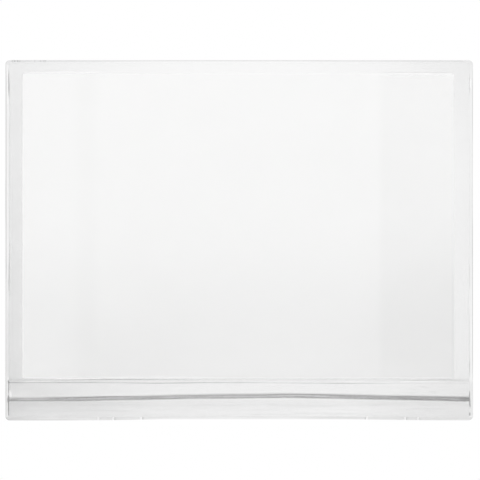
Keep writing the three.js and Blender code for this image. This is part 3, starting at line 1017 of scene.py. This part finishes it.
rubber_finish = rubber_material()
for side in ("left", "right"):
    bar_low, bar_high = corners(f"magnet_strip_{side}")
    across, up = bar_grid(bar_low, bar_high, strip_corner_radius)
    middle = (bar_low[0] + bar_high[0]) / 2
    from_edge = from_sides(across, up, bar_low, bar_high)
    edge_share = np.clip(1 - from_edge / strip_rounding, 0, 1)
    rounding = strip_rounding * (1 - np.sqrt(1 - edge_share ** 2))
    from_groove = np.mod(across - middle, groove_pitch) - groove_pitch / 2
    groove = groove_depth * bell(from_groove, groove_width) * smooth_step(from_edge - groove_inset, 0.4)
    across, up = round_corners(across, up, bar_low, bar_high, strip_corner_radius, strip_corner_radius)
    bar = flat_piece(f"magnet_strip_{side}", across, up, rounding, rounding + groove)
    take_place(bar, "pocket", rubber_finish)

# Studio: a plain pale floor well below the hanging pocket, an even pale room, and one large soft lamp
# above and in front. The floor turns to plain white away from the pocket.
floor_height = -0.40
floor_half_size = 4.0
floor_grey = 0.84
floor_fade_start = 0.5
floor_fade_end = 1.5


def directly_seen(tree):
    """1 for a ray from the camera, from a gloss or through a clear piece, and 0 for one that only
    brings light."""
    rays = tree.nodes.new("ShaderNodeLightPath").outputs
    seen = calculate(tree, "MAXIMUM", rays["Is Camera Ray"], rays["Is Glossy Ray"])
    return calculate(tree, "MAXIMUM", seen, rays["Is Transmission Ray"])


def floor_material():
    """Pale matt floor that turns to the white of the room with the distance from the middle."""
    material, tree, output = new_material("pale_floor")
    own_place = tree.nodes.new("ShaderNodeTexCoord").outputs["Object"]
    distance = tree.nodes.new("ShaderNodeVectorMath")
    distance.operation = "LENGTH"
    tree.links.new(own_place, distance.inputs[0])
    far = add_node(tree, "ShaderNodeMapRange", {
        "Value": distance.outputs["Value"],
        "From Min": floor_fade_start,
        "From Max": floor_fade_end,
    })
    far.interpolation_type = "SMOOTHSTEP"
    matt = add_node(tree, "ShaderNodeBsdfDiffuse", {"Color": (floor_grey, floor_grey, floor_grey, 1)})
    white = add_node(tree, "ShaderNodeEmission", {"Strength": 1})
    whiteness = calculate(tree, "MULTIPLY", far.outputs["Result"], directly_seen(tree))
    surface = mix_shaders(tree, whiteness, matt.outputs["BSDF"], white.outputs["Emission"])
    tree.links.new(surface, output.inputs["Surface"])
    return material


floor_mesh = bpy.data.meshes.new("floor")
floor_signs = ((-1, -1), (1, -1), (1, 1), (-1, 1))
floor_corners = [(x * floor_half_size, y * floor_half_size, floor_height) for x, y in floor_signs]
floor_mesh.from_pydata(floor_corners, [], [(0, 1, 2, 3)])
floor_mesh.materials.append(floor_material())
floor = bpy.data.objects.new("floor", floor_mesh)
bpy.context.scene.collection.objects.link(floor)

room_light = 0.965
lamp_power = 5.0
lamp_place = (-0.03, -0.6, 1.0)
lamp_size = 1.1


def room_world():
    """A white room where it is seen directly, and a plain even light on the object."""
    world = bpy.data.worlds.new("white_room")
    world.use_nodes = True
    tree = world.node_tree
    tree.nodes.clear()
    output = tree.nodes.new("ShaderNodeOutputWorld")
    strength = calculate(tree, "MULTIPLY_ADD", directly_seen(tree), 1 - room_light, room_light)
    background = add_node(tree, "ShaderNodeBackground", {"Color": (1, 1, 1, 1), "Strength": strength})
    tree.links.new(background.outputs["Background"], output.inputs["Surface"])
    return world


bpy.context.scene.world = room_world()
lamp_data = bpy.data.lights.new("soft_lamp", "AREA")
lamp_data.shape = "SQUARE"
lamp_data.size = lamp_size
lamp_data.energy = lamp_power
lamp = bpy.data.objects.new("soft_lamp", lamp_data)
lamp.location = lamp_place
lamp.rotation_euler = (math.atan2(-lamp_place[1], lamp_place[2]), 0, 0)
bpy.context.scene.collection.objects.link(lamp)

# Camera: square to the pocket at the height of its middle, with a long lens, as the photograph is
# taken. The pocket's middle lies just left of the middle of the picture, and a hair below it.
picture_width = 0.33048
lens = 150
sensor = 36
middle_shift = 0.00058
middle_drop = 0.00021
camera_data = bpy.data.cameras.new("camera")
camera_data.lens = lens
camera_data.sensor_width = sensor
camera_data.clip_start = 0.01
camera_data.clip_end = 100
camera = bpy.data.objects.new("camera", camera_data)
camera.location = (middle_shift, -(picture_width * lens / sensor + rim_front * MM), middle_drop)
camera.rotation_euler = (math.pi / 2, 0, 0)
bpy.context.scene.collection.objects.link(camera)
bpy.context.scene.camera = camera
bpy.context.scene.view_settings.view_transform = "Standard"
